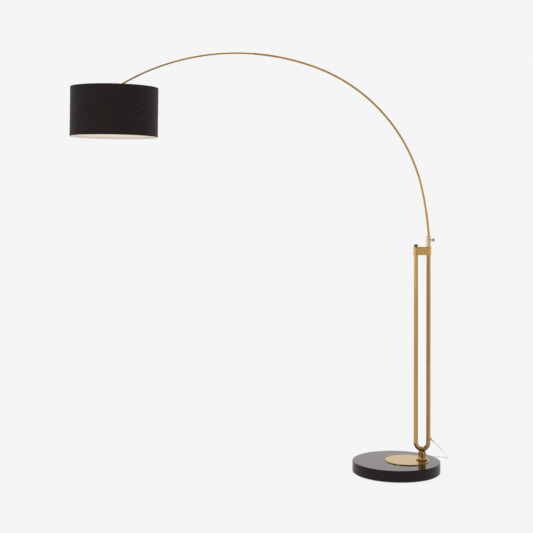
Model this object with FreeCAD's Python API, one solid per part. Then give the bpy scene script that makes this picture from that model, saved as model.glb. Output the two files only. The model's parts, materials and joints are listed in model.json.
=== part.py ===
import FreeCAD, Part
import math
import os

# Arc floor lamp, in millimetres. The origin is the centre of the base's underside, on the floor.
# +Z is up, the arm reaches towards -X, and the whole arm lies in the plane Y = 0.

V = FreeCAD.Vector
UP = V(0, 0, 1)

# Base
BASE_R = 203.0
FELT_T = 3.0
FELT_R = 197.0
STONE_TOP = 53.0
STONE_ROUND = 3.0
PLATE_X = 50.5
PLATE_R = 102.0
PLATE_TOP = 57.0
RECESS_R = 28.0
RECESS_TOP = 21.0

# Foot, under the bent tube
COLUMN_X = 120.0
STUD_R = 5.0
STUD_TOP = 88.0
FLANGE_R = 27.9
FLANGE_RIM = 4.0
FLANGE_TOP = 72.0
COLLAR_R = 18.0
COLLAR_RING_Z = 95.5
COLLAR_RING_R = 16.6
COLLAR_NECK_Z = 99.0
COLLAR_NECK_R = 14.4
COLLAR_TOP = 103.0
FLUTES = 8
FLUTE_R = 3.0
FLUTE_DEPTH = 1.2

# Column: one tube bent into a U, and the block that joins its two ends
TUBE_R = 9.65
TUBE_BORE_R = 8.45
TUBE_SPREAD = 58.4
BEND_Z = 136.5
BRIDGE_BOTTOM = 1007.5
BRIDGE_TOP = 1046.0
BRIDGE_R = 13.0
BRIDGE_ROUND = 2.2
CAP_TOP = 1057.0
LEFT_X = COLUMN_X - TUBE_SPREAD / 2
RIGHT_X = COLUMN_X + TUBE_SPREAD / 2

# Sleeve, the split bush in it, and the thumbscrew that squeezes the bush on to the arm
SLEEVE_R = 10.4
SLEEVE_TOP = 1096.0
SLEEVE_BORE_R = 6.1
SPIGOT_R = 8.4
SPIGOT_BOTTOM = 1020.0
BUSH_LEDGE_Z = 1034.0
BUSH_R = 6.0
BUSH_BORE_R = 5.4
SCREW_Z = 1077.5
SCREW_R = 3.0
PAD_R = 2.6
PAD_T = 1.7
KNOB_R = 9.0
KNURLS = 18

# Arm: arcs that follow each other from the sleeve's top, each as radius and degrees turned
ARM_ARCS = [(300.0, 5.0), (1500.0, 7.0), (789.0, 58.0), (1058.0, 51.38)]
TAIL_R = 5.3
TAIL_BORE_R = 4.65
BOW_R = 4.6
BOW_BORE_R = 4.1
TIP_R = 3.8
TIP_BORE_R = 3.0
TAIL_DROP = 250.0
TAIL_SHOWS = 120.0
TAIL_LAP = 30.0
TIP_SHOWS_AT = 1291.4
TIP_LAP = 130.0
WIRE_STOP = 1000.0
REACH_COLLAR_T = 3.0
GUIDE_R = 8.15
GUIDE_T = 12.0
FLEX_R = 2.5

# Knuckle and lamp head. Heights here are from the knuckle's pivot, along the shade's own axis
PIVOT_GAP = 20.0
EYE_R = 6.5
FORK_GAP = 5.2
EAR_T = 3.0
TONGUE_T = 4.6
PIN_R = 2.0
HEAD_TILT = 0.6
HOLDER_TOP = -18.5
HOLDER_JOIN = -42.0
HOLDER_R = 19.5
HOLDER_STEP = -61.0
HOLDER_MOUTH = -96.0
SHADE_R = 203.2
SHADE_TOP = 4.0
SHADE_HEIGHT = 228.6
FABRIC_T = 0.8
LINING_T = 0.7
WIRE_R = 2.0
RING_INSET = 3.0
SPIDER_ARMS = 3
SPIDER_ARM_R = 1.8
SPIDER_RING_R = 28.0
BULB_R = 30.0
BULB_CENTRE = -137.0

# Mains lead, from the right-hand upright to the plug
EXIT_Z = 154.0
EXIT_DROP = 41.0
CORD_R = 2.5
FLOOR_Z = CORD_R + 0.1
RELIEF_LENGTH = 22.0
LEAD_ROUTE = [
    (194.7, 0.0, 122.8),
    (220.0, 40.0, 91.0),
    (241.8, 88.0, 61.1),
    (259.7, 140.0, 37.2),
    (275.9, 195.0, 17.1),
    (284.0, 236.0, FLOOR_Z),
    (278.0, 264.0, FLOOR_Z),
    (256.0, 284.0, FLOOR_Z),
    (226.0, 290.0, FLOOR_Z),
    (194.0, 286.0, FLOOR_Z),
    (162.0, 280.0, FLOOR_Z),
    (130.0, 280.0, 6.5),
]
SWITCH_LENGTH = 70.0
SWITCH_WIDTH = 28.0
SWITCH_BASE_TOP = 9.0
SWITCH_TOP = 17.0
BUTTON_R = 8.0
BUTTON_TOP = 20.0
BUTTON_TRAVEL = 3.0
COIL_X = 0.0
COIL_Y = 246.0
COIL_TURN_R = 36.0
COIL_INNER_R = 18.4
COIL_OUTER_R = 38.7
COIL_TOP = 12.8
SWITCH_LEAD = [(60.0, 280.0, 6.5), (38.0, 282.6, 4.0), (12.0, 282.0, FLOOR_Z)]
PLUG_LEAD = [(-12.0, 282.0, 7.6), (-36.0, 283.6, 7.4), (-60.0, 282.0, 6.8)]
PLUG_NECK = 16.0
PLUG_BODY = 22.0
PLUG_WIDTH = 35.0
PLUG_T = 13.6
PIN_SPREAD = 19.0
PIN_LENGTH = 19.0


def cylinder(radius, low, high, x=0.0, y=0.0):
    return Part.makeCylinder(radius, high - low, V(x, y, low))


def tube(outer, inner, low, high, x=0.0, y=0.0):
    return cylinder(outer, low, high, x, y).cut(cylinder(inner, low - 1, high + 1, x, y))


def rod(radius, start, end):
    return Part.makeCylinder(radius, (end - start).Length, start, end - start)


def block(low, high):
    return Part.makeBox(high[0] - low[0], high[1] - low[1], high[2] - low[2], V(*low))


def turned(outline, x=0.0):
    """A solid turned about the vertical line at x from a closed outline of radius and height."""
    points = [V(r, 0, z) for r, z in outline]
    face = Part.Face(Part.makePolygon(points + points[:1]))
    solid = face.revolve(V(0, 0, 0), UP, 360)
    solid.translate(V(x, 0, 0))
    return solid


def swept(path, radius):
    """A round bar along a wire of lines and tangent arcs."""
    first = path.OrderedEdges[0]
    start = first.valueAt(first.FirstParameter)
    along = first.tangentAt(first.FirstParameter)
    if first.Orientation == "Reversed":
        start = first.valueAt(first.LastParameter)
        along = first.tangentAt(first.LastParameter) * -1
    profile = Part.Wire([Part.makeCircle(radius, start, along)])
    return path.makePipeShell([profile], True, False)


def prism(outline, low, high):
    face = Part.Face(Part.makePolygon([V(x, y, low) for x, y in outline + outline[:1]]))
    return face.extrude(V(0, 0, high - low))


def hexagon(across_flats, low, high, x=0.0):
    corner = across_flats / math.sqrt(3)
    angles = [math.radians(60 * k) for k in range(6)]
    return prism([(x + corner * math.cos(a), corner * math.sin(a)) for a in angles], low, high)


def upright_edges(shape):
    return [e for e in shape.Edges if abs(e.tangentAt(e.FirstParameter).z) > 0.99 and e.Length > 1]


# ---- base and foot


def base_felt():
    return cylinder(FELT_R, 0, FELT_T)


def base_stone():
    solid = turned(
        [
            (0, FELT_T),
            (BASE_R - 1.5, FELT_T),
            (BASE_R, FELT_T + 1.5),
            (BASE_R, STONE_TOP),
            (0, STONE_TOP),
        ]
    )
    long_edges = [e for e in solid.Edges if e.Length > 6 * BASE_R]
    rim = [e for e in long_edges if min(v.Z for v in e.Vertexes) > STONE_TOP - 0.01]
    solid = solid.makeFillet(STONE_ROUND, rim)
    recess = cylinder(RECESS_R, FELT_T - 1, RECESS_TOP, COLUMN_X)
    hole = cylinder(STUD_R + 0.5, FELT_T, STONE_TOP + 1, COLUMN_X)
    return solid.cut(recess.fuse(hole))


def base_washer():
    return tube(RECESS_R - 3, STUD_R + 0.3, RECESS_TOP - 2.5, RECESS_TOP, COLUMN_X)


def base_nut():
    low = RECESS_TOP - 10.5
    return hexagon(17, low, RECESS_TOP - 2.5, COLUMN_X).cut(
        cylinder(STUD_R + 0.02, low - 1, RECESS_TOP, COLUMN_X)
    )


def base_stud():
    return cylinder(STUD_R, 8, STUD_TOP, COLUMN_X)


def brass_plate():
    edge = 0.6
    outline = [
        (0, STONE_TOP),
        (PLATE_R, STONE_TOP),
        (PLATE_R, PLATE_TOP - edge),
        (PLATE_R - edge, PLATE_TOP),
        (0, PLATE_TOP),
    ]
    hole = cylinder(STUD_R + 0.3, STONE_TOP - 1, PLATE_TOP + 1, COLUMN_X)
    return turned(outline, PLATE_X).cut(hole)


def foot_flange():
    outline = [
        (STUD_R + 0.2, PLATE_TOP),
        (FLANGE_R - 0.8, PLATE_TOP),
        (FLANGE_R, PLATE_TOP + 0.8),
        (FLANGE_R, PLATE_TOP + FLANGE_RIM - 0.6),
        (FLANGE_R - 0.8, PLATE_TOP + FLANGE_RIM),
        (COLLAR_R + 5.6, PLATE_TOP + FLANGE_RIM + 1.4),
        (COLLAR_R + 3.2, PLATE_TOP + FLANGE_RIM + 3.6),
        (COLLAR_R + 1.4, FLANGE_TOP - 3.4),
        (COLLAR_R + 0.5, FLANGE_TOP),
        (STUD_R + 0.2, FLANGE_TOP),
    ]
    return turned(outline, COLUMN_X)


def foot_collar():
    outline = [
        (0, FLANGE_TOP),
        (COLLAR_R, FLANGE_TOP),
        (COLLAR_R, COLLAR_RING_Z),
        (COLLAR_RING_R, COLLAR_NECK_Z),
        (COLLAR_NECK_R, COLLAR_NECK_Z),
        (COLLAR_NECK_R, COLLAR_TOP),
        (0, COLLAR_TOP),
    ]
    solid = turned(outline, COLUMN_X)
    solid = solid.cut(cylinder(STUD_R + 0.02, FLANGE_TOP - 1, STUD_TOP + 1, COLUMN_X))
    for k in range(FLUTES):
        angle = 2 * math.pi * k / FLUTES
        out = COLLAR_R + FLUTE_R - FLUTE_DEPTH
        x = COLUMN_X + out * math.cos(angle)
        y = out * math.sin(angle)
        solid = solid.cut(cylinder(FLUTE_R, FLANGE_TOP + 2, COLLAR_RING_Z - 3, x, y))
    return solid.cut(swept(column_path(), TUBE_R + 0.03))


# ---- column


def column_path():
    middle = V(COLUMN_X, 0, BEND_Z - TUBE_SPREAD / 2)
    left = V(LEFT_X, 0, BEND_Z)
    right = V(RIGHT_X, 0, BEND_Z)
    return Part.Wire(
        [
            Part.LineSegment(V(LEFT_X, 0, BRIDGE_TOP), left).toShape(),
            Part.Arc(left, middle, right).toShape(),
            Part.LineSegment(right, V(RIGHT_X, 0, BRIDGE_TOP)).toShape(),
        ]
    )


def u_frame():
    solid = swept(column_path(), TUBE_R).cut(swept(column_path(), TUBE_BORE_R))
    return solid.cut(rod(4.1, EXIT_FACE - EXIT_WAY * 14, EXIT_FACE + EXIT_WAY))


def bridge():
    body = block((LEFT_X, -BRIDGE_R, BRIDGE_BOTTOM), (RIGHT_X, BRIDGE_R, BRIDGE_TOP))
    for x in (LEFT_X, RIGHT_X):
        body = body.fuse(cylinder(BRIDGE_R, BRIDGE_BOTTOM, BRIDGE_TOP, x))
    body = body.removeSplitter()
    rims = [e for e in body.Edges if abs(e.BoundBox.ZLength) < 0.01]
    body = body.makeFillet(BRIDGE_ROUND, rims)
    for x in (LEFT_X, RIGHT_X):
        body = body.cut(cylinder(TUBE_R + 0.03, BRIDGE_BOTTOM - 1, BRIDGE_TOP + 1, x))
        body = body.cut(grub_screw_at(x, 2.52, 6.0))
    return body


def grub_screw_at(x, radius, out):
    middle = (BRIDGE_BOTTOM + BRIDGE_TOP) / 2
    return rod(radius, V(x, TUBE_R + 0.03, middle), V(x, BRIDGE_R + out - 0.4, middle))


def bridge_screws():
    """Two headless screws at the back, each with a hexagon socket."""
    both = []
    for x in (LEFT_X, RIGHT_X):
        middle = (BRIDGE_BOTTOM + BRIDGE_TOP) / 2
        socket = hexagon(2.5, 0, 2)
        socket.rotate(V(0, 0, 0), V(1, 0, 0), 90)
        socket.translate(V(x, BRIDGE_R - 0.2, middle))
        both.append(grub_screw_at(x, 2.5, 0).cut(socket))
    return Part.makeCompound(both)


def tube_cap():
    outline = [
        (0, BRIDGE_TOP - 16),
        (TUBE_BORE_R - 0.05, BRIDGE_TOP - 16),
        (TUBE_BORE_R - 0.05, BRIDGE_TOP),
        (TUBE_R - 0.7, BRIDGE_TOP),
        (TUBE_R - 0.7, CAP_TOP - 1.5),
        (TUBE_R - 2.2, CAP_TOP),
        (0, CAP_TOP),
    ]
    return turned(outline, LEFT_X)


# ---- sleeve and clamp


def sleeve():
    outline = [
        (SLEEVE_BORE_R - 0.5, SPIGOT_BOTTOM),
        (SPIGOT_R, SPIGOT_BOTTOM),
        (SPIGOT_R, BRIDGE_TOP),
        (SLEEVE_R, BRIDGE_TOP),
        (SLEEVE_R, SLEEVE_TOP - 2),
        (SLEEVE_R - 0.6, SLEEVE_TOP - 0.6),
        (SLEEVE_R - 2, SLEEVE_TOP),
        (SLEEVE_BORE_R, SLEEVE_TOP),
        (SLEEVE_BORE_R, BUSH_LEDGE_Z),
        (SLEEVE_BORE_R - 0.5, BUSH_LEDGE_Z),
    ]
    hole = rod(SCREW_R + 0.05, V(RIGHT_X, 0, SCREW_Z), V(RIGHT_X + 20, 0, SCREW_Z))
    return turned(outline, RIGHT_X).cut(hole)


def sleeve_bush():
    body = tube(BUSH_R, BUSH_BORE_R, BUSH_LEDGE_Z + 0.2, SLEEVE_TOP - 1.5, RIGHT_X)
    split = block((RIGHT_X - 0.6, 0, BUSH_LEDGE_Z), (RIGHT_X + 0.6, BUSH_R + 1, SLEEVE_TOP))
    return body.cut(split)


def screw_pad():
    inner = RIGHT_X + BUSH_R + 0.1
    return rod(PAD_R, V(inner, 0, SCREW_Z), V(inner + PAD_T, 0, SCREW_Z))


def thumbscrew():
    """The knob's outline runs along its axis, from the shank's end to the disc."""
    start = BUSH_R + 0.1 + PAD_T
    outline = [
        (0, start),
        (SCREW_R, start),
        (SCREW_R, SLEEVE_R + 1.6),
        (SCREW_R + 0.4, SLEEVE_R + 2.0),
        (SCREW_R + 0.4, SLEEVE_R + 4.5),
        (SCREW_R + 2.0, SLEEVE_R + 7.0),
        (KNOB_R - 1.0, SLEEVE_R + 11.0),
        (KNOB_R, SLEEVE_R + 12.0),
        (KNOB_R, SLEEVE_R + 15.0),
        (KNOB_R - 1.0, SLEEVE_R + 16.0),
        (0, SLEEVE_R + 16.0),
    ]
    knob = turned(outline)
    for k in range(KNURLS):
        angle = 2 * math.pi * k / KNURLS
        x = (KNOB_R + 0.25) * math.cos(angle)
        y = (KNOB_R + 0.25) * math.sin(angle)
        knob = knob.cut(cylinder(0.65, SLEEVE_R + 10.5, SLEEVE_R + 17, x, y))
    knob.rotate(V(0, 0, 0), V(0, 1, 0), 90)
    knob.translate(V(RIGHT_X, 0, SCREW_Z))
    return knob


# ---- arm


def arm_line():
    """Each arc of the arm as (start, end, centre, radius, heading), lengths from the sleeve's top."""
    x, z, heading, at = RIGHT_X, SLEEVE_TOP, math.pi / 2, 0.0
    arcs = []
    for radius, degrees in ARM_ARCS:
        centre = (x - radius * math.sin(heading), z + radius * math.cos(heading))
        turn = math.radians(degrees)
        arcs.append((at, at + radius * turn, centre, radius, heading))
        at += radius * turn
        heading += turn
        x = centre[0] + radius * math.sin(heading)
        z = centre[1] - radius * math.cos(heading)
    return arcs


def on_arc(arc, at):
    start, _, centre, radius, heading = arc
    angle = heading + (at - start) / radius
    return V(centre[0] + radius * math.sin(angle), 0, centre[1] - radius * math.cos(angle))


def arm_path(low, high):
    """The arm's middle line between two lengths. Below 0 it is straight down the sleeve."""
    edges = []
    if low < 0:
        top = V(RIGHT_X, 0, SLEEVE_TOP + min(high, 0))
        edges.append(Part.LineSegment(V(RIGHT_X, 0, SLEEVE_TOP + low), top).toShape())
    for arc in arm_line():
        first = max(low, arc[0])
        last = min(high, arc[1])
        if last - first > 0.01:
            ends = [on_arc(arc, at) for at in (first, (first + last) / 2, last)]
            edges.append(Part.Arc(*ends).toShape())
    return Part.Wire(edges)


def arm_tube(low, high, outer, inner):
    path = arm_path(low, high)
    return swept(path, outer).cut(swept(path, inner))


def arm_tail():
    return arm_tube(-TAIL_DROP, TAIL_SHOWS, TAIL_R, TAIL_BORE_R)


def tail_guide():
    low = SLEEVE_TOP - TAIL_DROP
    return tube(GUIDE_R, TAIL_R + 0.02, low, low + GUIDE_T, RIGHT_X)


def arm_bow():
    return arm_tube(TAIL_SHOWS - TAIL_LAP, TIP_SHOWS_AT, BOW_R, BOW_BORE_R)


def reach_collar():
    return arm_tube(TIP_SHOWS_AT, TIP_SHOWS_AT + REACH_COLLAR_T, BOW_R + 0.3, BOW_BORE_R)


def arm_tip():
    return arm_tube(TIP_SHOWS_AT - TIP_LAP, ARM_END, TIP_R, TIP_BORE_R)


def tip_flex():
    return swept(arm_path(TIP_SHOWS_AT - TIP_LAP, ARM_END), FLEX_R)


def arm_flex():
    return swept(arm_path(-TAIL_DROP, WIRE_STOP), FLEX_R)


ARM_END = arm_line()[-1][1]
END_HEADING = arm_line()[-1][4] + math.radians(ARM_ARCS[-1][1])
END_WAY = V(math.cos(END_HEADING), 0, math.sin(END_HEADING))
PIVOT = on_arc(arm_line()[-1], ARM_END) + END_WAY * PIVOT_GAP


# ---- knuckle


def along_y(radius, low, high):
    return rod(radius, V(0, low, 0), V(0, high, 0))


def knuckle_fork():
    """Built with the arm coming in along +X and the pivot at the origin, then leaned to the arm."""
    reach = EYE_R + 3.5
    half = FORK_GAP / 2 + EAR_T
    body = along_y(EYE_R, -half, half)
    body = body.fuse(block((0, -half, -EYE_R), (reach + 2.5, half, EYE_R)))
    body = body.cut(block((-EYE_R - 1, -FORK_GAP / 2, -EYE_R - 1), (reach, FORK_GAP / 2, EYE_R + 1)))
    socket = rod(half, V(reach, 0, 0), V(PIVOT_GAP + 13, 0, 0))
    body = body.fuse(socket)
    body = body.cut(rod(TIP_R + 0.15, V(PIVOT_GAP, 0, 0), V(PIVOT_GAP + 14, 0, 0)))
    body = body.cut(along_y(PIN_R + 0.02, -half - 1, half + 1))
    body.rotate(V(0, 0, 0), V(0, 1, 0), 180 - math.degrees(END_HEADING))
    body.translate(PIVOT)
    return body


def knuckle_screw():
    """A slotted screw across the fork, its head towards -Y."""
    half = FORK_GAP / 2 + EAR_T
    body = along_y(PIN_R, -half, half + 5.5).fuse(along_y(4.4, -half - 2.8, -half))
    body = body.cut(block((-5, -half - 3, -0.5), (5, -half - 1.7, 0.5)))
    body.translate(PIVOT)
    return body


def knuckle_nut():
    half = FORK_GAP / 2 + EAR_T
    nut = hexagon(9, half, half + 3.8).cut(cylinder(PIN_R + 0.02, half - 1, half + 5))
    nut.rotate(V(0, 0, 0), V(1, 0, 0), -90)
    nut.translate(PIVOT)
    return nut


def hung(solid):
    """Moves a solid from the lamp head's own frame to its place on the pivot."""
    solid.rotate(V(0, 0, 0), V(0, 1, 0), HEAD_TILT)
    solid.translate(PIVOT)
    return solid


def knuckle_tongue():
    half = TONGUE_T / 2
    body = along_y(EYE_R, -half, half)
    body = body.fuse(block((-4.5, -half, -15), (4.5, half, 0)))
    body = body.fuse(cylinder(7, HOLDER_TOP, -15))
    body = body.fuse(cylinder(STUD_R, -36, HOLDER_TOP))
    body = body.cut(cylinder(3, -37, -15.5))
    return hung(body.cut(along_y(PIN_R + 0.1, -half - 1, half + 1)))


# ---- lampholder and bulb


def lampholder_cap():
    outline = [
        (STUD_R + 0.1, HOLDER_TOP),
        (10, HOLDER_TOP),
        (14.2, -20.4),
        (17.4, -23.8),
        (19.1, -28.0),
        (HOLDER_R, -32),
        (HOLDER_R, HOLDER_JOIN),
        (HOLDER_R - 1.8, HOLDER_JOIN),
        (HOLDER_R - 1.8, -32),
        (15.6, -25.2),
        (9.6, HOLDER_TOP - 1.8),
        (STUD_R + 0.1, HOLDER_TOP - 1.8),
    ]
    return hung(turned(outline))


def lampholder_locknut():
    nut = hexagon(14, -23.6, HOLDER_TOP - 1.8)
    return hung(nut.cut(cylinder(STUD_R + 0.02, -24, HOLDER_TOP)))


def lampholder_shell():
    outline = [
        (HOLDER_R, HOLDER_JOIN),
        (HOLDER_R, HOLDER_STEP + 3),
        (23, HOLDER_STEP + 3),
        (23, HOLDER_STEP),
        (HOLDER_R - 0.5, HOLDER_STEP),
        (HOLDER_R - 0.5, HOLDER_MOUTH),
        (HOLDER_R - 2.5, HOLDER_MOUTH),
        (HOLDER_R - 2.5, HOLDER_JOIN),
    ]
    return hung(turned(outline))


def lampholder_insert():
    """The ceramic block with its centre contact's hollow facing the bulb."""
    outline = [
        (0, -46),
        (HOLDER_R - 2.6, -46),
        (HOLDER_R - 2.6, -60),
        (6, -60),
        (6, -57),
        (0, -57),
    ]
    return hung(turned(outline))


def lampholder_contact():
    return hung(block((-2.5, -5.5, -58.2), (2.5, 5.5, -57)))


def lampholder_thread():
    return hung(tube(14.3, 13.5, -84, -60))


def bulb_cap():
    outline = [
        (0, -59.0),
        (4.2, -59.0),
        (4.6, -60.8),
        (11.0, -63.2),
        (13.2, -64.5),
        (13.2, -86),
        (0, -86),
    ]
    return hung(turned(outline))


def bulb_outline(inset):
    """The glass's half outline, its neck drawn in by inset."""
    radius = BULB_R - inset
    shoulder = math.radians(48)
    low = V(radius * math.cos(shoulder), 0, BULB_CENTRE + radius * math.sin(shoulder))
    neck = V(13.8 - inset, 0, -92)
    bottom = V(0, 0, BULB_CENTRE - radius)
    top = V(13.8 - inset, 0, -86)
    return Part.Wire(
        [
            Part.LineSegment(V(0, 0, -86), top).toShape(),
            Part.LineSegment(top, neck).toShape(),
            Part.Arc(neck, V(15.6 - inset, 0, -103), low).toShape(),
            Part.Arc(low, V(radius, 0, BULB_CENTRE), bottom).toShape(),
            Part.LineSegment(bottom, V(0, 0, -86)).toShape(),
        ]
    )


def bulb_glass():
    outer = Part.Face(bulb_outline(0)).revolve(V(0, 0, 0), UP, 360)
    inner = Part.Face(bulb_outline(1.2)).revolve(V(0, 0, 0), UP, 360)
    return hung(outer.cut(inner))


# ---- shade


def shade_ring_nut():
    nut = tube(26, HOLDER_R - 0.45, HOLDER_STEP - 10, HOLDER_STEP - 2)
    for k in range(24):
        angle = 2 * math.pi * k / 24
        x = 26.3 * math.cos(angle)
        y = 26.3 * math.sin(angle)
        nut = nut.cut(cylinder(1.0, HOLDER_STEP - 11, HOLDER_STEP - 1, x, y))
    return hung(nut)


def wire_ring(height):
    inside = SHADE_R - FABRIC_T - LINING_T
    return Part.makeTorus(inside - WIRE_R - 0.1, WIRE_R, V(0, 0, height))


def shade_spider():
    """The fitting ring, its sloping arms and the wire ring at the shade's top, welded together."""
    height = SHADE_TOP - RING_INSET
    ring = tube(SPIDER_RING_R, HOLDER_R - 0.3, HOLDER_STEP - 2, HOLDER_STEP)
    solid = wire_ring(height).fuse(ring)
    out = SHADE_R - FABRIC_T - LINING_T - WIRE_R - 0.1
    for k in range(SPIDER_ARMS):
        angle = 2 * math.pi * (k + 0.5) / SPIDER_ARMS
        way = V(math.cos(angle), math.sin(angle), 0)
        inner = way * (SPIDER_RING_R - 0.6) + UP * (HOLDER_STEP - 1)
        solid = solid.fuse(rod(SPIDER_ARM_R, inner, way * out + UP * height))
    return hung(solid.removeSplitter())


def shade_bottom_ring():
    return hung(wire_ring(SHADE_TOP - SHADE_HEIGHT + RING_INSET))


def shade_lining():
    outer = SHADE_R - FABRIC_T - 0.05
    low = SHADE_TOP - SHADE_HEIGHT + 0.6
    return hung(tube(outer, outer - LINING_T + 0.05, low, SHADE_TOP - 0.6))


def shade_fabric():
    return hung(tube(SHADE_R, SHADE_R - FABRIC_T, SHADE_TOP - SHADE_HEIGHT, SHADE_TOP))


# ---- mains lead


EXIT_WAY = V(math.cos(math.radians(EXIT_DROP)), 0, -math.sin(math.radians(EXIT_DROP)))
EXIT_FACE = V(RIGHT_X + TUBE_R, 0, EXIT_Z) + EXIT_WAY * 4.5


def rounded_route(points):
    """Straight runs joined by tangent arcs, each as large as its two runs allow. Prints the radii."""
    corners = [V(*p) for p in points]
    edges = []
    radii = []
    at = corners[0]
    for before, corner, after in zip(corners, corners[1:], corners[2:]):
        into = corner - before
        away = after - corner
        turn = into.getAngle(away)
        cut = 0.45 * min(into.Length, away.Length)
        radii.append(round(cut / math.tan(turn / 2), 1))
        into.normalize()
        away.normalize()
        start = corner - into * cut
        end = corner + away * cut
        inward = away - into
        inward.normalize()
        sagitta = radii[-1] / math.cos(turn / 2) - radii[-1]
        edges.append(Part.LineSegment(at, start).toShape())
        edges.append(Part.Arc(start, corner + inward * sagitta, end).toShape())
        at = end
    edges.append(Part.LineSegment(at, corners[-1]).toShape())
    return Part.Wire(edges), radii


def lead(name, points):
    path, radii = rounded_route(points)
    solid = swept(path, CORD_R)
    expected = math.pi * CORD_R**2 * path.Length
    print(name, "radii", radii, "length", round(path.Length, 1), "volume", round(solid.Volume / expected, 4))
    return solid


def cord_bushing():
    """A ferrule through the tube's wall, with a rounded collar outside it."""
    collar = rod(5.5, EXIT_FACE - EXIT_WAY * 8, EXIT_FACE - EXIT_WAY * 1.2)
    nose = Part.makeCone(5.5, 4.3, 1.2, EXIT_FACE - EXIT_WAY * 1.2, EXIT_WAY)
    outside = collar.fuse(nose).cut(cylinder(TUBE_R + 0.02, EXIT_Z - 40, EXIT_Z + 40, RIGHT_X))
    stem = rod(4.05, EXIT_FACE - EXIT_WAY * 8, EXIT_FACE - EXIT_WAY * 2)
    bore = rod(CORD_R + 0.05, EXIT_FACE - EXIT_WAY * 15, EXIT_FACE + EXIT_WAY)
    return outside.fuse(stem).cut(bore)


def strain_relief():
    cone = Part.makeCone(4.2, 3.1, RELIEF_LENGTH, EXIT_FACE, EXIT_WAY)
    return cone.cut(rod(CORD_R + 0.03, EXIT_FACE - EXIT_WAY, EXIT_FACE + EXIT_WAY * 30))


def mast_flex():
    """The lead inside the right-hand upright, from the bushing up to the arm's lower end."""
    start = EXIT_FACE
    inside = (TUBE_R + 4.5 * EXIT_WAY.x) / EXIT_WAY.x
    corner = start - EXIT_WAY * inside
    turn = math.radians(90 - EXIT_DROP)
    radius = 10.0
    cut = radius * math.tan(turn / 2)
    first = corner - EXIT_WAY * -cut
    last = corner + UP * cut
    inward = UP * cut + EXIT_WAY * cut
    inward.normalize()
    middle = corner + inward * (radius / math.cos(turn / 2) - radius)
    top = V(RIGHT_X, 0, SLEEVE_TOP - TAIL_DROP - 2)
    path = Part.Wire(
        [
            Part.LineSegment(start, first).toShape(),
            Part.Arc(first, middle, last).toShape(),
            Part.LineSegment(last, top).toShape(),
        ]
    )
    return swept(path, FLEX_R)


def mains_lead():
    return lead("mains_lead", [tuple(EXIT_FACE)] + LEAD_ROUTE).cut(switch_box(0, SWITCH_TOP))


def lead_coil():
    ring = tube(COIL_OUTER_R, COIL_INNER_R, 0, COIL_TOP, COIL_X, COIL_Y)
    return ring.makeFillet(2.2, [e for e in ring.Edges if abs(e.BoundBox.ZLength) < 0.01])


def switch_lead():
    return lead("switch_lead", SWITCH_LEAD).cut(lead_coil()).cut(switch_box(0, SWITCH_TOP))


def plug_lead():
    return lead("plug_lead", PLUG_LEAD).cut(lead_coil()).cut(plug_body())


# ---- foot switch and plug


def switch_box(low, high):
    end = LEAD_ROUTE[-1]
    x = end[0] - SWITCH_LENGTH
    y = end[1] - SWITCH_WIDTH / 2
    return block((x, y, low), (end[0], y + SWITCH_WIDTH, high))


SWITCH_X = LEAD_ROUTE[-1][0] - SWITCH_LENGTH / 2
SWITCH_Y = LEAD_ROUTE[-1][1]


def shell_box(low, high, wall, open_top):
    body = switch_box(low, high)
    body = body.makeFillet(7, upright_edges(body))
    inner_low = low + wall if open_top else low - 1
    inner_high = high + 1 if open_top else high - wall
    x, y = SWITCH_X, SWITCH_Y
    half_x = SWITCH_LENGTH / 2 - wall
    half_y = SWITCH_WIDTH / 2 - wall
    hollow = block((x - half_x, y - half_y, inner_low), (x + half_x, y + half_y, inner_high))
    return body.cut(hollow.makeFillet(5.2, upright_edges(hollow)))


def foot_switch_base():
    return shell_box(0, SWITCH_BASE_TOP, 1.8, True)


def foot_switch_cover():
    body = shell_box(SWITCH_BASE_TOP, SWITCH_TOP, 1.8, False)
    rim = [e for e in body.Edges if e.BoundBox.ZMin > SWITCH_TOP - 0.01]
    outer = [e for e in rim if e.BoundBox.ZLength < 0.01]
    body = body.makeFillet(1.2, outer)
    return body.cut(cylinder(BUTTON_R + 0.4, SWITCH_BASE_TOP, SWITCH_TOP + 1, SWITCH_X, SWITCH_Y))


def foot_switch_core():
    x, y = SWITCH_X, SWITCH_Y
    return block((x - 11, y - 8, 1.8), (x + 11, y + 8, SWITCH_TOP - BUTTON_TRAVEL - 2.2))


def foot_switch_button():
    low = SWITCH_TOP - 1.8
    body = cylinder(BUTTON_R, low, BUTTON_TOP, SWITCH_X, SWITCH_Y)
    body = body.makeFillet(1.4, [e for e in body.Edges if e.BoundBox.ZMin > BUTTON_TOP - 0.01])
    return body


def plug_body():
    x, y, z = PLUG_LEAD[-1]
    front = x - PLUG_NECK - PLUG_BODY
    body = block((front, y - PLUG_WIDTH / 2, 0), (x - PLUG_NECK, y + PLUG_WIDTH / 2, PLUG_T))
    body = body.makeFillet(4.5, [e for e in body.Edges if abs(e.tangentAt(e.FirstParameter).x) > 0.99])
    wide = Part.makeCircle(1, V(0, 0, 0), V(1, 0, 0))
    wide = Part.Wire([wide])
    stretch = FreeCAD.Matrix()
    stretch.A22 = PLUG_WIDTH / 2 - 1.5
    stretch.A33 = PLUG_T / 2 - 0.2
    stretch.A14 = x - PLUG_NECK
    stretch.A24 = y
    stretch.A34 = z
    wide = wide.transformGeometry(stretch)
    narrow = Part.Wire([Part.makeCircle(4.2, V(x, y, z), V(1, 0, 0))])
    return body.fuse(Part.makeLoft([narrow, wide], True))


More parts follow.
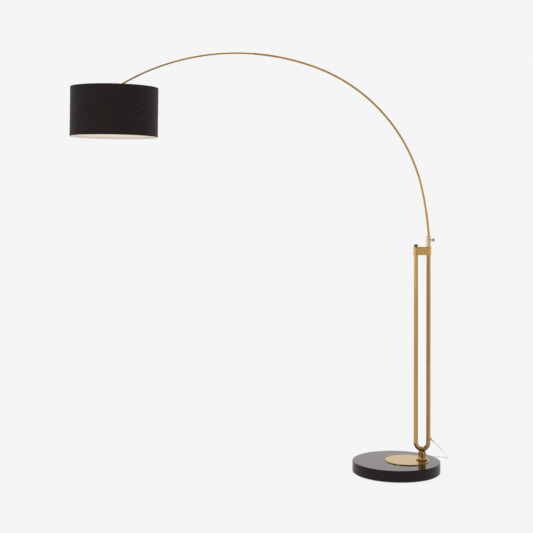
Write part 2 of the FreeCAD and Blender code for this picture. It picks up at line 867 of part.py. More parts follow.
def plug_pins():
    x, y, z = PLUG_LEAD[-1]
    front = x - PLUG_NECK - PLUG_BODY
    pins = []
    for side in (-1, 1):
        beside = y + side * PIN_SPREAD / 2
        pin = rod(2.0, V(front, beside, z), V(front - PIN_LENGTH, beside, z))
        tip = [e for e in pin.Edges if e.BoundBox.XMax < front - PIN_LENGTH + 0.01]
        pins.append(pin.makeFillet(1.2, tip))
    return Part.makeCompound(pins)


SUB_PARTS = [
    base_felt,
    base_stone,
    base_washer,
    base_nut,
    base_stud,
    brass_plate,
    foot_flange,
    foot_collar,
    u_frame,
    bridge,
    bridge_screws,
    tube_cap,
    sleeve,
    sleeve_bush,
    screw_pad,
    thumbscrew,
    arm_tail,
    tail_guide,
    arm_bow,
    reach_collar,
    arm_tip,
    knuckle_fork,
    knuckle_screw,
    knuckle_nut,
    knuckle_tongue,
    lampholder_cap,
    lampholder_locknut,
    lampholder_shell,
    lampholder_insert,
    lampholder_contact,
    lampholder_thread,
    bulb_cap,
    bulb_glass,
    shade_ring_nut,
    shade_spider,
    shade_bottom_ring,
    shade_lining,
    shade_fabric,
    cord_bushing,
    strain_relief,
    mast_flex,
    arm_flex,
    tip_flex,
    mains_lead,
    foot_switch_base,
    foot_switch_cover,
    foot_switch_core,
    foot_switch_button,
    switch_lead,
    lead_coil,
    plug_lead,
    plug_body,
    plug_pins,
]

os.makedirs("parts", exist_ok=True)
for make in SUB_PARTS:
    shape = make()
    shape.exportStep("parts/" + make.__name__ + ".step")
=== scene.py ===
import json
import math

import bpy
from mathutils import Matrix, Vector


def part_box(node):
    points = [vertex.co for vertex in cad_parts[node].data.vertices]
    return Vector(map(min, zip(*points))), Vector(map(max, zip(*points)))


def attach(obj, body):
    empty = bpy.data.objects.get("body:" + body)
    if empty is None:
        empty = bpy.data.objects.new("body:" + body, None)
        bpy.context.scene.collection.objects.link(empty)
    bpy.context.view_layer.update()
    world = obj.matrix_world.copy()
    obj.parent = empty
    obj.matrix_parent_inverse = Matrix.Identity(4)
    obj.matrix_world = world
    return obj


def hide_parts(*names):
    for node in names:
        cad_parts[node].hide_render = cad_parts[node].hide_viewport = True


# Arc floor lamp in metres, +Z up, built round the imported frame. The arm reaches towards -X.

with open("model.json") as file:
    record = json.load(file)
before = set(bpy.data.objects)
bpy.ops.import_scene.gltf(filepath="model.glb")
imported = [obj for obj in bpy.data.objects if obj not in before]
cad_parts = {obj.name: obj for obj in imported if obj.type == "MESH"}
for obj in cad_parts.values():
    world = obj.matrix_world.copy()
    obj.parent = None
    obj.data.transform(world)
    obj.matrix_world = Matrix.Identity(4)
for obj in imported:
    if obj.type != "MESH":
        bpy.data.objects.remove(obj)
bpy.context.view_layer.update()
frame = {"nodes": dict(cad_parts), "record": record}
NODES = frame["nodes"]
MM = 0.001


# ---- camera

CAMERA_PLACE = (-0.6039, -5.147, 1.271)
CAMERA_LENS = 74.84
CAMERA_SHIFT_Y = -0.1283
CAMERA_ROLL = -0.0012


def add_camera():
    data = bpy.data.cameras.new("camera")
    data.lens = CAMERA_LENS
    data.sensor_width = 36.0
    data.shift_y = CAMERA_SHIFT_Y
    data.clip_end = 60.0
    camera = bpy.data.objects.new("camera", data)
    camera.location = CAMERA_PLACE
    camera.rotation_euler = (math.radians(90), CAMERA_ROLL, 0)
    bpy.context.scene.collection.objects.link(camera)
    bpy.context.scene.camera = camera


# ---- node helpers


def node(tree, kind, inputs=None, **settings):
    """A shader node. An input is given a plain value, or is linked when it is given a socket."""
    made = tree.nodes.new("ShaderNode" + kind)
    for key, value in settings.items():
        setattr(made, key, value)
    for key, value in (inputs or {}).items():
        if isinstance(value, bpy.types.NodeSocket):
            tree.links.new(value, made.inputs[key])
        else:
            made.inputs[key].default_value = value
    return made


def rgb(red, green, blue):
    """A linear colour from 0-255 screen values."""
    def linear(value):
        share = value / 255
        return share / 12.92 if share <= 0.04045 else ((share + 0.055) / 1.055) ** 2.4
    return (linear(red), linear(green), linear(blue), 1.0)


def shaded(color, factor):
    return tuple(c * factor for c in color[:3]) + (1.0,)


def new_material(name, color, roughness, metallic=0.0, **sockets):
    material = bpy.data.materials.new(name)
    material.use_nodes = True
    shader = material.node_tree.nodes["Principled BSDF"]
    shader.inputs["Base Color"].default_value = color
    shader.inputs["Roughness"].default_value = roughness
    shader.inputs["Metallic"].default_value = metallic
    for key, value in sockets.items():
        shader.inputs[key.replace("_", " ")].default_value = value
    return material, material.node_tree, shader


def object_place(tree):
    return node(tree, "TexCoord").outputs["Object"]


def scaled(tree, vector, scale):
    return node(tree, "Mapping", {"Vector": vector, "Scale": scale}).outputs["Vector"]


def noise(tree, vector, scale, detail=3.0, roughness=0.55):
    made = node(tree, "TexNoise", {"Vector": vector, "Scale": scale, "Detail": detail,
                                   "Roughness": roughness})
    return made.outputs["Fac"]


def in_range(tree, value, low, high, new_low, new_high):
    made = node(tree, "MapRange", {"Value": value, "From Min": low, "From Max": high,
                                   "To Min": new_low, "To Max": new_high})
    return made.outputs["Result"]


def math_node(tree, operation, first, second=0.0):
    return node(tree, "Math", {0: first, 1: second}, operation=operation).outputs["Value"]


def split(tree, vector):
    return node(tree, "SeparateXYZ", {0: vector}).outputs


def face_way(tree):
    """The three parts of the way that a face looks."""
    return split(tree, node(tree, "TexCoord").outputs["Normal"])


def from_point(tree, place, point):
    return node(tree, "VectorMath", {0: place, 1: point}, operation="SUBTRACT").outputs[0]


def off_axis(tree, across, along):
    """How far a place is from an axis, from its two distances square to it."""
    flat = node(tree, "CombineXYZ", {"X": across, "Y": along}).outputs[0]
    return node(tree, "VectorMath", {0: flat}, operation="LENGTH").outputs["Value"]


def set_color(tree, shader, factor, first, second):
    """Blends two colours into the shader's base colour, and returns the blend."""
    made = node(tree, "Mix", data_type="RGBA")
    tree.links.new(factor, made.inputs[0])
    made.inputs[6].default_value = first
    made.inputs[7].default_value = second
    tree.links.new(made.outputs[2], shader.inputs["Base Color"])
    return made.outputs[2]


def set_bump(tree, shader, height, depth):
    """height is from 0 to 1, and depth is what 1 stands for, in metres."""
    bump = node(tree, "Bump", {"Height": height, "Distance": depth, "Strength": 1.0})
    tree.links.new(bump.outputs["Normal"], shader.inputs["Normal"])


# ---- cord: the points of its routes are in millimetres

CORD_D = 5.0 * MM
EXIT_DROP = math.radians(41)
EXIT_WAY = Vector((math.cos(EXIT_DROP), 0, -math.sin(EXIT_DROP)))
EXIT_HOLE = Vector((158.85, 0.0, 154.0)) * MM
BUSHING_OUT = 4.5 * MM
EXIT_FACE = EXIT_HOLE + EXIT_WAY * BUSHING_OUT
LYING_Z = 2.6
LEAD_ROUTE = [
    (194.7, 0.0, 122.8),
    (220.0, 40.0, 91.0),
    (241.8, 88.0, 61.1),
    (259.7, 140.0, 37.2),
    (275.9, 195.0, 17.1),
    (284.0, 236.0, LYING_Z),
    (278.0, 264.0, LYING_Z),
    (256.0, 284.0, LYING_Z),
    (226.0, 290.0, LYING_Z),
    (194.0, 286.0, LYING_Z),
    (162.0, 280.0, LYING_Z),
    (130.0, 280.0, 6.5),
]
SWITCH_LEAD = [(60.0, 280.0, 6.5), (38.0, 282.6, 4.0), (12.0, 282.0, LYING_Z)]
PLUG_LEAD = [(-12.0, 282.0, 7.6), (-36.0, 283.6, 7.4), (-60.0, 282.0, 6.8)]
COIL_CENTRE = (0.0, 246.0)
COIL_R = 36.0
COIL_PITCH = 5.0
COIL_LAYER = 5.05
COIL_TURNS = 7
COIL_STEPS = 16

LATHE_TURNS = 48
BOOT_LENGTH = 22 * MM
BOOT_MOUTH_R = 4.15 * MM
BOOT_TIP_R = 3.05 * MM
BOOT_BORE_R = CORD_D / 2 + 0.06 * MM
BOOT_RIBS = 6
BOOT_RIBS_FROM, BOOT_RIBS_TO = 0.15, 0.87
BOOT_GROOVE = 0.42 * MM
BOOT_STEPS = 66


def coil_place(turn):
    """Radius and height of the cord in the coil: three turns in, one round, and three out on top."""
    inner = COIL_R - 3 * COIL_PITCH
    if turn <= 3:
        return COIL_R - COIL_PITCH * turn, LYING_Z
    if turn <= 4:
        gap = 1 - (turn - 3)
        return inner, LYING_Z + COIL_LAYER * math.sqrt(1 - gap * gap)
    radius = inner + COIL_PITCH * (turn - 4)
    if turn <= 5:
        part = turn - 4
        return radius, coil_place(turn - 1)[1] + COIL_LAYER * math.sqrt(1 - part * part)
    return radius, LYING_Z + COIL_LAYER


def coil_points():
    points = []
    for step in range(1, COIL_TURNS * COIL_STEPS):
        turn = step / COIL_STEPS
        radius, height = coil_place(turn)
        radius /= math.cos(math.pi / COIL_STEPS)
        angle = math.pi / 2 + 2 * math.pi * turn
        points.append((COIL_CENTRE[0] + radius * math.cos(angle),
                       COIL_CENTRE[1] + radius * math.sin(angle), height))
    return points


def cord_curve(name, points):
    """One smooth line through a cord's route, as a round tube. The points are in millimetres."""
    curve = bpy.data.curves.new(name, "CURVE")
    curve.dimensions = "3D"
    curve.bevel_depth = 1.0
    curve.bevel_resolution = 5
    curve.resolution_u = 10
    curve.use_fill_caps = True
    spline = curve.splines.new("NURBS")
    spline.points.add(len(points) - 1)
    for point, place in zip(spline.points, points):
        point.co = (place[0] * MM, place[1] * MM, place[2] * MM, 1.0)
        point.radius = CORD_D / 2
    spline.order_u = 3
    spline.use_endpoint_u = True
    obj = bpy.data.objects.new(name, curve)
    bpy.context.scene.collection.objects.link(obj)
    return obj


def lathed(name, profile, start, way):
    """A piece turned about a line: the profile's points are a distance along it and a radius."""
    turns = LATHE_TURNS
    angles = [2 * math.pi * k / turns for k in range(turns)]
    ring = [(math.cos(angle), math.sin(angle)) for angle in angles]
    points = [(r * c, r * s, along) for along, r in profile for c, s in ring]
    rows = len(profile)
    faces = []
    for j in range(rows):
        near, far = j * turns, (j + 1) % rows * turns
        for k in range(turns):
            beside = (k + 1) % turns
            faces.append((near + k, near + beside, far + beside, far + k))
    mesh = bpy.data.meshes.new(name)
    mesh.from_pydata(points, [], faces)
    mesh.transform(Matrix.Translation(start) @ way.to_track_quat("Z", "Y").to_matrix().to_4x4())
    mesh.shade_smooth()
    obj = bpy.data.objects.new(name, mesh)
    bpy.context.scene.collection.objects.link(obj)
    return obj


def add_strain_boot():
    """A tapered boot round the cord: a plain mouth, soft ribs that get thinner, and a plain tip."""
    profile = [(0.0, BOOT_BORE_R), (0.0, BOOT_MOUTH_R)]
    for k in range(1, BOOT_STEPS):
        share = k / BOOT_STEPS
        outer = BOOT_MOUTH_R + (BOOT_TIP_R - BOOT_MOUTH_R) * share
        ribbed = BOOT_RIBS_FROM < share < BOOT_RIBS_TO
        rib = BOOT_RIBS * (share - BOOT_RIBS_FROM) / (BOOT_RIBS_TO - BOOT_RIBS_FROM)
        groove = 0.5 - 0.5 * math.cos(2 * math.pi * rib)
        depth = BOOT_GROOVE * (1 - 0.45 * share) if ribbed else 0.0
        profile.append((BOOT_LENGTH * share, outer - depth * groove))
    profile += [
        (BOOT_LENGTH - 0.15 * MM, BOOT_TIP_R - 0.05 * MM),
        (BOOT_LENGTH, BOOT_TIP_R - 0.3 * MM),
        (BOOT_LENGTH, BOOT_BORE_R),
    ]
    boot = lathed("strain_boot", profile, EXIT_FACE, EXIT_WAY)
    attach(boot, "stand")
    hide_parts("strain_relief")
    return boot


def add_cords():
    lead = cord_curve("cord_to_switch", [tuple(EXIT_FACE / MM)] + LEAD_ROUTE)
    coil = cord_curve("cord_to_plug", SWITCH_LEAD + coil_points() + PLUG_LEAD)
    for cord, nodes in ((lead, ["mains_lead"]), (coil, ["switch_lead", "lead_coil", "plug_lead"])):
        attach(cord, "stand")
        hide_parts(*nodes)
    return [lead, coil]


# ---- stage and light

BACKGROUND = rgb(245, 245, 246)
LIGHT_TINT = (1.0, 0.968, 0.965, 1.0)
FLOOR_GLOSSY = 0.54
FLOOR_DIFFUSE = 1.4
FLOOR_R = 14.0
FLOOR_PLACE = (-0.6, 0, -0.0005)
CONTACT_REACH = 0.10
CONTACT_SHADOW_TONE = 0.955

WALL_LEVEL = 0.50
BEHIND_ADDS = 0.55
LEFT_ADDS = 0.22
RIGHT_ADDS = 0.05
HIGH_WALL_SHARE = 0.16
BEHIND_RISES = 0.3
CEILING_LEVEL = 0.42

# Each softbox's name, place, target, size and power.
SOFTBOXES = [
    ("key_light", (-4.1, -2.9, 2.0), (-0.4, 0, 1.0), (0.5, 2.6), 16),
    ("fill_light", (3.2, -2.6, 1.8), (0, 0, 0.9), (0.4, 2.2), 7),
    ("top_light", (-0.5, 0.9, 4.4), (-0.5, 0, 0), (2.4, 0.8), 15),
]


def add_floor():
    """A pale floor of the background's own colour, with a painted contact shadow: a little darker right
    beside what stands on it.
    """
    bpy.ops.mesh.primitive_circle_add(vertices=96, radius=FLOOR_R, fill_type="NGON", location=FLOOR_PLACE)
    floor = bpy.context.object
    floor.name = "floor"
    material = bpy.data.materials.new("pale_floor")
    material.use_nodes = True
    tree = material.node_tree
    tree.nodes.clear()
    # Painted contact shadow, darkest where ambient occlusion finds something close.
    near = node(tree, "AmbientOcclusion", {"Distance": CONTACT_REACH}, samples=8)
    share = in_range(tree, near.outputs["AO"], 0.35, 0.95, CONTACT_SHADOW_TONE, 1.0)
    path = node(tree, "LightPath")
    diffuse_ray = path.outputs["Is Diffuse Ray"]
    lit_strength = in_range(tree, diffuse_ray, 0.0, 1.0, FLOOR_GLOSSY, FLOOR_DIFFUSE)
    seen = node(tree, "Emission", {"Color": BACKGROUND, "Strength": share})
    lit = node(tree, "Emission", {"Color": LIGHT_TINT, "Strength": lit_strength})
    mixed = node(tree, "MixShader", {"Fac": path.outputs["Is Camera Ray"], 1: lit.outputs[0],
                                     2: seen.outputs[0]})
    node(tree, "OutputMaterial", {"Surface": mixed.outputs[0]})
    floor.data.materials.append(material)


def add_world():
    """An even backdrop for the camera. All else sees a bright ceiling and walls that are brightest behind.
    The walls turn dark a little above the horizon in front, and higher up behind."""
    world = bpy.data.worlds.new("studio")
    bpy.context.scene.world = world
    world.use_nodes = True
    tree = world.node_tree
    tree.nodes.clear()
    way = split(tree, node(tree, "TexCoord").outputs["Generated"])
    behind = in_range(tree, way["Y"], -0.2, 0.85, 0.0, BEHIND_ADDS)
    left = in_range(tree, way["X"], -0.3, -0.9, 0.0, LEFT_ADDS)
    right = in_range(tree, way["X"], 0.4, 0.95, 0.0, RIGHT_ADDS)
    round_about = math_node(tree, "ADD", math_node(tree, "ADD", behind, left), right)
    level = math_node(tree, "ADD", round_about, WALL_LEVEL)
    rises = in_range(tree, way["Y"], -0.3, 0.4, 0.0, BEHIND_RISES)
    lowered = math_node(tree, "SUBTRACT", way["Z"], rises)
    share = in_range(tree, lowered, 0.12, 0.23, 1.0, HIGH_WALL_SHARE)
    walls = math_node(tree, "MULTIPLY", level, share)
    ceiling = in_range(tree, way["Z"], 0.40, 0.75, 0.0, CEILING_LEVEL)
    strength = math_node(tree, "MAXIMUM", walls, ceiling)
    light = node(tree, "Background", {"Color": LIGHT_TINT, "Strength": strength})
    seen = node(tree, "Background", {"Color": BACKGROUND, "Strength": 1.0})
    camera_ray = node(tree, "LightPath").outputs["Is Camera Ray"]
    mixed = node(tree, "MixShader", {"Fac": camera_ray, 1: light.outputs[0], 2: seen.outputs[0]})
    node(tree, "OutputWorld", {"Surface": mixed.outputs[0]})


def add_softbox(name, place, target, size, power):
    data = bpy.data.lights.new(name, "AREA")
    data.shape = "RECTANGLE"
    data.size, data.size_y = size
    data.energy = power
    light = bpy.data.objects.new(name, data)
    light.location = place
    light.rotation_euler = (Vector(target) - Vector(place)).to_track_quat("-Z", "Y").to_euler()
    bpy.context.scene.collection.objects.link(light)


def add_studio():
    add_floor()
    add_world()
    for softbox in SOFTBOXES:
        add_softbox(*softbox)
    bpy.context.scene.view_settings.view_transform = "Standard"


# ---- materials

BRASS = (0.83, 0.52, 0.185, 1.0)
ARM_BRASS = (0.84, 0.515, 0.14, 1.0)
CHAMPAGNE = (0.88, 0.68, 0.405, 1.0)
BRASS_EDGE = (0.92, 0.72, 0.45, 1.0)
BRONZE = (0.20, 0.13, 0.07, 1.0)
NICKEL = (0.68, 0.63, 0.58, 1.0)
STEEL = (0.62, 0.62, 0.63, 1.0)
PLATE_BRASS = (0.57, 0.402, 0.163, 1.0)
# The dark brown of painted shade and painted dark reflections on metal.
PAINTED_DARK_COLOR = (0.035, 0.024, 0.017, 1.0)
WHITE = (1.0, 1.0, 1.0, 1.0)
ARM_LINES_CENTRE = (-0.62, 0.0, 1.02)
COLLAR_NECK = 4.0 * MM
COLLAR_RING_FOOT = 7.5 * MM
FLANGE_RIM = 4.0 * MM
THREAD_PITCH = 0.9 * MM


def rings_along_z(tree, place):
    """Fine turned or brushed lines round anything upright."""
    return scaled(tree, place, (25, 25, 2600))


def rings_round(centre):
    """Lines across the arm, read as an angle about a point below its bow."""
    def along(tree, place):
        at = split(tree, from_point(tree, place, centre))
        angle = math_node(tree, "ARCTAN2", at["Z"], at["X"])
        joined = node(tree, "CombineXYZ", {"X": angle, "Y": at["Y"]})
        return scaled(tree, joined.outputs[0], (2200, 25, 1))
    return along


def circles_about(centre):
    """Lathe lines on a flat disc."""
    def along(tree, place):
        at = split(tree, from_point(tree, place, centre))
        joined = node(tree, "CombineXYZ", {"X": off_axis(tree, at["X"], at["Y"])})
        return scaled(tree, joined.outputs[0], (1800, 1, 1))
    return along


def metal(name, color, roughness, lines=rings_along_z, depth=1.0e-6, tone=0.07, cloud_scale=14,
          painted_dark=None, edge=WHITE):
    """Plated or turned metal: slow changes of tone, fine tool lines, small dull spots, and, where a mask
    is given, painted shade and painted dark reflections in dark brown mixed into the colour. edge tints
    what is seen at a grazing angle."""
    material, tree, shader = new_material(name, color, roughness, metallic=1.0, Specular_Tint=edge)
    place = object_place(tree)
    cloud = noise(tree, place, cloud_scale, 4)
    spots = noise(tree, place, 420, 2)
    tool = noise(tree, lines(tree, place), 1.0, 2)
    paler = tuple(min(c * (1 + tone), 1.0) for c in color[:3]) + (1.0,)
    share = in_range(tree, cloud, 0.3, 0.7, 0, 1)
    unshaded = set_color(tree, shader, share, shaded(color, 1 - tone), paler)
    # Painted shade and painted dark reflections: the mask darkens the colour towards a dark brown.
    if painted_dark:
        darkened = node(tree, "Mix", {0: painted_dark(tree, place), 7: PAINTED_DARK_COLOR}, data_type="RGBA")
        tree.links.new(unshaded, darkened.inputs[6])
        tree.links.new(darkened.outputs[2], shader.inputs["Base Color"])
    dull = math_node(tree, "ADD", in_range(tree, spots, 0.55, 0.75, 0.0, 0.08),
                     in_range(tree, tool, 0.3, 0.7, roughness - 0.02, roughness + 0.04))
    tree.links.new(dull, shader.inputs["Roughness"])
    set_bump(tree, shader, tool, depth)
    return material


def frame_painted_shade(tree, place):
    """On the column's two legs: painted shade on the sides that face each other, and a painted dark
    reflection of the black stone under the bend.
    """
    at, faces = split(tree, place), face_way(tree)
    left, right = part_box("u_frame")
    middle = (left.x + right.x) / 2
    side = in_range(tree, at["X"], middle - 4 * MM, middle + 4 * MM, 1.0, -1.0)
    inward = math_node(tree, "MULTIPLY", faces["X"], side)
    held = in_range(tree, at["X"], middle - 20 * MM, middle + 20 * MM, 0.08, 0.46)
    between = math_node(tree, "MULTIPLY", in_range(tree, inward, -0.5, 0.7, 0.15, 1.0), held)
    low = in_range(tree, at["Z"], 0.30, 0.15, 0.0, 0.25)
    lower = math_node(tree, "MULTIPLY", in_range(tree, inward, 0.3, 0.8, 0.0, 1.0), low)
    under = in_range(tree, faces["Z"], -0.10, -0.30, 0.0, 0.97)
    return math_node(tree, "MAXIMUM", math_node(tree, "ADD", between, lower), under)


def arm_painted_reflection(tree, place):
    """Painted dark reflection of the shade under the arm, more towards its far end, and most beside the
    shade.
    """
    at, faces = split(tree, place), face_way(tree)
    along = in_range(tree, at["X"], -0.20, -1.10, 0.05, 0.60)
    by_shade = in_range(tree, at["X"], -1.14, -1.22, 0.0, 0.38)
    under = in_range(tree, faces["Z"], -0.05, -0.50, 0.0, 1.0)
    return math_node(tree, "MULTIPLY", under, math_node(tree, "ADD", along, by_shade))


def collar_painted_shade(tree, place):
    """Painted shade in the bottom of the collar's flutes and on the neck under the bent tube."""
    low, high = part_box("foot_collar")
    at = split(tree, from_point(tree, place, tuple((low + high) / 2)))
    radius = off_axis(tree, at["X"], at["Y"])
    full = (high.y - low.y) / 2
    flutes = in_range(tree, radius, full - 0.2 * MM, full - 1.1 * MM, 0.26, 0.80)
    from_top = math_node(tree, "SUBTRACT", (high.z - low.z) / 2, at["Z"])
    foot = COLLAR_RING_FOOT
    below_ring = in_range(tree, from_top, foot - 0.5 * MM, foot + 0.5 * MM, 0.0, 1.0)
    neck = in_range(tree, from_top, COLLAR_NECK - 0.4 * MM, COLLAR_NECK + 0.2 * MM, 0.96, 0.0)
    return math_node(tree, "MAXIMUM", math_node(tree, "MULTIPLY", flutes, below_ring), neck)


def flange_painted_shade(tree, place):
    """Painted shade on the flange's upright rim, and a little on its steep flanks."""
    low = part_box("foot_flange")[0]
    height = math_node(tree, "SUBTRACT", split(tree, place)["Z"], low.z)
    upright = in_range(tree, face_way(tree)["Z"], 0.55, 0.30, 0.0, 0.9)
    on_rim = in_range(tree, height, FLANGE_RIM + 0.2 * MM, FLANGE_RIM + 1.2 * MM, 1.0, 0.25)
    return math_node(tree, "MULTIPLY", upright, on_rim)


def bridge_painted_shade(tree, place):
    """A thin line of painted shade in the two brazed joints, where the bridge's web meets its sockets."""
    across = split(tree, place)["X"]
    low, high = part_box("bridge")
    inset = (high.y - low.y) / 2 + 1.0 * MM
    left = math_node(tree, "ABSOLUTE", math_node(tree, "SUBTRACT", across, low.x + inset))
    right = math_node(tree, "ABSOLUTE", math_node(tree, "SUBTRACT", across, high.x - inset))
    return in_range(tree, math_node(tree, "MINIMUM", left, right), 0.4 * MM, 0.9 * MM, 0.4, 0.0)


def polished_stone():
    """Black stone, polished, with fine mineral specks and a few faint veins."""
    dark, speck = (0.0022, 0.0016, 0.0016, 1), (0.022, 0.019, 0.018, 1)
    material, tree, shader = new_material("polished_stone", dark, 0.045, IOR=1.47)
    shader.inputs["Specular Tint"].default_value = (1.0, 0.80, 0.80, 1.0)
    place = object_place(tree)
    grain = noise(tree, place, 900, 3, 0.7)
    drift = node(tree, "TexNoise", {"Vector": place, "Scale": 9.0}).outputs["Color"]
    bent = node(tree, "Mix", {0: 0.12, 4: place, 5: drift}, data_type="VECTOR").outputs[1]
    veins = node(tree, "TexVoronoi", {"Vector": bent, "Scale": 7.0}, feature="DISTANCE_TO_EDGE")
    vein = in_range(tree, veins.outputs["Distance"], 0.0, 0.012, 0.35, 0.0)
    fleck = in_range(tree, grain, 0.66, 0.78, 0.0, 1.0)
    set_color(tree, shader, math_node(tree, "MAXIMUM", vein, fleck), dark, speck)
    smear = noise(tree, place, 22, 3)
    tree.links.new(in_range(tree, smear, 0.3, 0.7, 0.035, 0.075), shader.inputs["Roughness"])
    return material


def felt():
    dark, light = (0.010, 0.010, 0.011, 1), (0.028, 0.028, 0.030, 1)
    material, tree, shader = new_material("black_felt", dark, 0.95, Sheen_Weight=0.4,
                                          Sheen_Roughness=0.6)
    fibre = noise(tree, scaled(tree, object_place(tree), (900, 900, 2500)), 1.0, 5, 0.7)
    set_color(tree, shader, fibre, dark, light)
    set_bump(tree, shader, fibre, 0.4 * MM)
    return material


def weave_lines(tree, along, up, pitch):
    """A plain weave's height from 0 to 1, from two distances on the cloth."""
    warp = math_node(tree, "SINE", math_node(tree, "MULTIPLY", along, math.pi / pitch))
    weft = math_node(tree, "SINE", math_node(tree, "MULTIPLY", up, math.pi / pitch))
    warp_height = math_node(tree, "ABSOLUTE", warp)
    weft_height = math_node(tree, "ABSOLUTE", weft)
    return math_node(tree, "MAXIMUM", warp_height, weft_height)


def shade_cloth(centre, radius):
    """Black linen: a plain weave with thick and thin threads, and a soft pale bloom at grazing angles."""
    dark, light = rgb(31, 27, 27), rgb(72, 63, 60)
    material, tree, shader = new_material("shade_cloth", dark, 0.60, Sheen_Weight=0.03,
                                          Sheen_Roughness=0.22, Specular_IOR_Level=0.13)
    shader.inputs["Sheen Tint"].default_value = (1.0, 0.85, 0.78, 1)
    shader.inputs["Specular Tint"].default_value = (1.0, 0.86, 0.80, 1)
    at = split(tree, from_point(tree, object_place(tree), centre))
    angle = math_node(tree, "ARCTAN2", at["Y"], at["X"])
    along = math_node(tree, "MULTIPLY", angle, radius)
    up = at["Z"]
    flat = node(tree, "CombineXYZ", {"X": along, "Y": up}).outputs[0]
    weft_slub = noise(tree, scaled(tree, flat, (90, 900, 1)), 1.0, 2)
    warp_slub = noise(tree, scaled(tree, flat, (900, 90, 1)), 1.0, 2)
    thick = math_node(tree, "MAXIMUM", weft_slub, warp_slub)
    mottle = noise(tree, scaled(tree, flat, (210, 90, 1)), 1.0, 2, 0.7)
    threads = weave_lines(tree, along, up, THREAD_PITCH)
    tone = math_node(tree, "MULTIPLY", in_range(tree, thick, 0.5, 0.75, 0.1, 1.0),
                     in_range(tree, mottle, 0.45, 0.65, 0.1, 1.0))
    set_color(tree, shader, tone, dark, light)
    fine = math_node(tree, "ADD", math_node(tree, "MULTIPLY", threads, 0.25),
                     math_node(tree, "MULTIPLY", thick, 0.35))
    height = math_node(tree, "ADD", fine, math_node(tree, "MULTIPLY", mottle, 0.4))
    set_bump(tree, shader, height, 0.9 * MM)
    return material


def moulded(name, color, roughness, grain=900, depth=2.0e-5, **sockets):
    """Moulded plastic or lacquer: a fine skin and small changes of gloss."""
    material, tree, shader = new_material(name, color, roughness, **sockets)
    place = object_place(tree)
    skin = noise(tree, place, grain, 3)
    cloud = noise(tree, place, 40, 2)
    paler = shaded(color, min(1.05, 1 / max(color[:3])))
    set_color(tree, shader, cloud, shaded(color, 0.94), paler)
    tree.links.new(in_range(tree, skin, 0.3, 0.7, roughness - 0.05, roughness + 0.07),
                   shader.inputs["Roughness"])
    set_bump(tree, shader, skin, depth)
    return material


def node_finishes():
    """Materials of the nodes that don't take their slot's own."""
    # The arm and the column's parts carry painted shade and painted dark reflections in their colour.
    arm_brass = metal("arm_brass", ARM_BRASS, 0.34, lines=rings_round(ARM_LINES_CENTRE), depth=0.5e-6,
                      painted_dark=arm_painted_reflection, edge=BRASS_EDGE)
    return {
        "u_frame": metal("column_brass", BRASS, 0.20, painted_dark=frame_painted_shade),
        "foot_collar": metal("collar_brass", BRASS, 0.26, painted_dark=collar_painted_shade),
        "foot_flange": metal("flange_brass", BRASS, 0.22, painted_dark=flange_painted_shade),
        "bridge": metal("bridge_brass", BRASS, 0.20, painted_dark=bridge_painted_shade),
        "arm_tail": arm_brass,
        "arm_bow": arm_brass,
        "arm_tip": arm_brass,
    }


def slot_finishes():
    """A material for each slot but the shade's fabric."""
    low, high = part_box("brass_plate")
    plate_lines = circles_about(tuple((low + high) / 2))
    return {
        "stone": polished_stone(),
        "felt": felt(),
        "plate_brass": metal("plate_brass", PLATE_BRASS, 0.25, lines=plate_lines, cloud_scale=60),
        "tube_brass": metal("tube_brass", BRASS, 0.20),
        "sleeve_brass": metal("sleeve_brass", CHAMPAGNE, 0.26, edge=BRASS_EDGE),
        "dark_bronze": metal("dark_bronze", BRONZE, 0.28, tone=0.2),
        "nickel": metal("nickel", NICKEL, 0.22),
        "steel": metal("steel", STEEL, 0.34),
        "black_plastic": moulded("black_plastic", (0.012, 0.012, 0.013, 1), 0.34),
        "white_plastic": moulded("white_plastic", rgb(228, 226, 220), 0.38, Subsurface_Weight=0.05),
        "clear_cord": moulded("clear_cord", rgb(250, 246, 242), 0.30, grain=150, depth=1.0e-6,
                              Transmission_Weight=0.06, IOR=1.30),
        "ceramic": moulded("ceramic", rgb(232, 230, 224), 0.16, depth=8.0e-6),
        "bulb_glass": moulded("opal_glass", rgb(244, 242, 236), 0.10, depth=2.0e-6,
                              Subsurface_Weight=0.1),
        "shade_lining": moulded("shade_lining", rgb(243, 236, 225), 0.45, grain=260, depth=4.0e-5),
        "white_wire": moulded("white_wire", rgb(226, 224, 218), 0.30),
    }


def finish_nodes(cord_pieces):
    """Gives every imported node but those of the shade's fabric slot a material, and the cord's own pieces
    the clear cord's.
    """
    own, finishes = node_finishes(), slot_finishes()
    for part in frame["record"]["subparts"]:
        name, slot = part["node"], part["material_slot"]
        if slot == "shade_fabric":
            continue
        material = own.get(name) or finishes[slot]
        mesh_object = NODES[name]
        for place in mesh_object.material_slots:
            place.material = material
        if not mesh_object.material_slots:
            mesh_object.data.materials.append(material)
    for piece in cord_pieces:
        piece.data.materials.append(finishes["clear_cord"])


# ---- shade

SHADE_R = 0.2032
SHADE_HEIGHT = 0.2286
HEAD_TILT = math.radians(0.6)
CLOTH_T = 0.35 * MM
AROUND = 256
SEAM_WIDTH = 12 * MM
SEAM_RISE = 0.75 * MM
SEAM_INSET = 0.4 * MM
SEAM_STEPS = 14
SEAM_STRIPS = 8
WALL_STEPS = 12
TRIM_REACH = 12 * MM


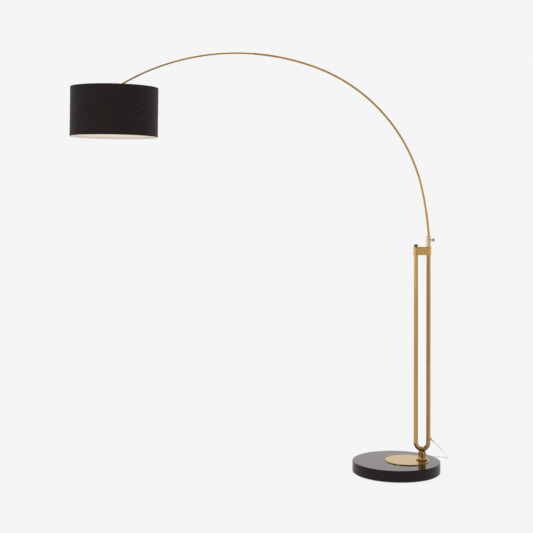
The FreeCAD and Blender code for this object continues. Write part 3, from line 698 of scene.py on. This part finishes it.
def shade_profile():
    """The cloth's outer face as radius and height: a flat trim at each rim, turned in over the edge."""
    turned_in = [(-1.9, -1.6), (-1.86, -0.7), (-1.5, -0.2), (-0.8, 0.0), (-0.1, -0.12), (0.25, -0.6)]
    trim = [(0.35, -1.6), (0.35, -8.2), (0.3, -9.0), (0.05, -9.3), (0.0, -9.8), (0.0, -11.0)]
    top = SHADE_HEIGHT / 2
    upper = [(SHADE_R + r * MM, top + z * MM) for r, z in turned_in + trim]
    lower = [(r, -z) for r, z in reversed(upper)]
    first, last = upper[-1][1], lower[0][1]
    wall = [(SHADE_R, first + (last - first) * k / WALL_STEPS) for k in range(1, WALL_STEPS)]
    return upper + wall + lower


def seam_profile():
    """Where the cloth's two ends lap at the back, just inside the rims."""
    end = SHADE_HEIGHT / 2 - SEAM_INSET
    heights = [end * (1 - 2 * k / SEAM_STEPS) for k in range(SEAM_STEPS + 1)]
    return [(SHADE_R + SEAM_RISE, height) for height in heights]


def ripple(angle, height):
    """How far the cloth stands off a true cylinder, a little more at the folded rims."""
    rim = max(0.0, abs(height) - SHADE_HEIGHT / 2 + TRIM_REACH) / TRIM_REACH
    slow = math.sin(3 * angle + 0.7) * 0.10 + math.sin(5 * angle + 2.1) * 0.06
    fine = math.sin(41 * angle + 9 * height) * 0.05 + math.sin(67 * angle + 1.3) * 0.04
    return (slow + fine * rim) * MM


def shade_matrix():
    low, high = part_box("shade_fabric")
    return Matrix.Translation((low + high) / 2) @ Matrix.Rotation(HEAD_TILT, 4, "Y")


def cloth_round(name, profile, angles, closed, material):
    """Rippled cloth that follows the profile round the shade's axis, with a real thickness."""
    points, faces = [], []
    for angle in angles:
        for radius, height in profile:
            r = radius + ripple(angle, height)
            points.append((r * math.cos(angle), r * math.sin(angle), height))
    rows = len(profile)
    turns = len(angles)
    for k in range(turns if closed else turns - 1):
        here, after = k * rows, (k + 1) % turns * rows
        for j in range(rows - 1):
            faces.append((here + j, here + j + 1, after + j + 1, after + j))
    mesh = bpy.data.meshes.new(name)
    mesh.from_pydata(points, [], faces)
    mesh.transform(shade_matrix())
    mesh.shade_smooth()
    mesh.materials.append(material)
    obj = bpy.data.objects.new(name, mesh)
    bpy.context.scene.collection.objects.link(obj)
    thicken = obj.modifiers.new("cloth", "SOLIDIFY")
    thicken.thickness = CLOTH_T
    thicken.offset = -1.0
    return obj


def add_shade():
    """The fabric round the drum, and the lap where its two ends meet at the back."""
    low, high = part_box("shade_fabric")
    centre = (low + high) / 2
    cloth = shade_cloth(tuple(centre), SHADE_R)
    angles = [2 * math.pi * k / AROUND for k in range(AROUND)]
    shade = cloth_round("shade_cloth", shade_profile(), angles, True, cloth)
    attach(shade, "lamp_head")
    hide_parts("shade_fabric")
    width = SEAM_WIDTH / SHADE_R
    seam_angles = [math.pi / 2 + width * (k / SEAM_STRIPS - 0.5) for k in range(SEAM_STRIPS + 1)]
    seam = cloth_round("shade_seam", seam_profile(), seam_angles, False, cloth)
    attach(seam, "lamp_head")


add_camera()
strain_boot = add_strain_boot()
cords = add_cords()
finish_nodes(cords + [strain_boot])
add_shade()
add_studio()
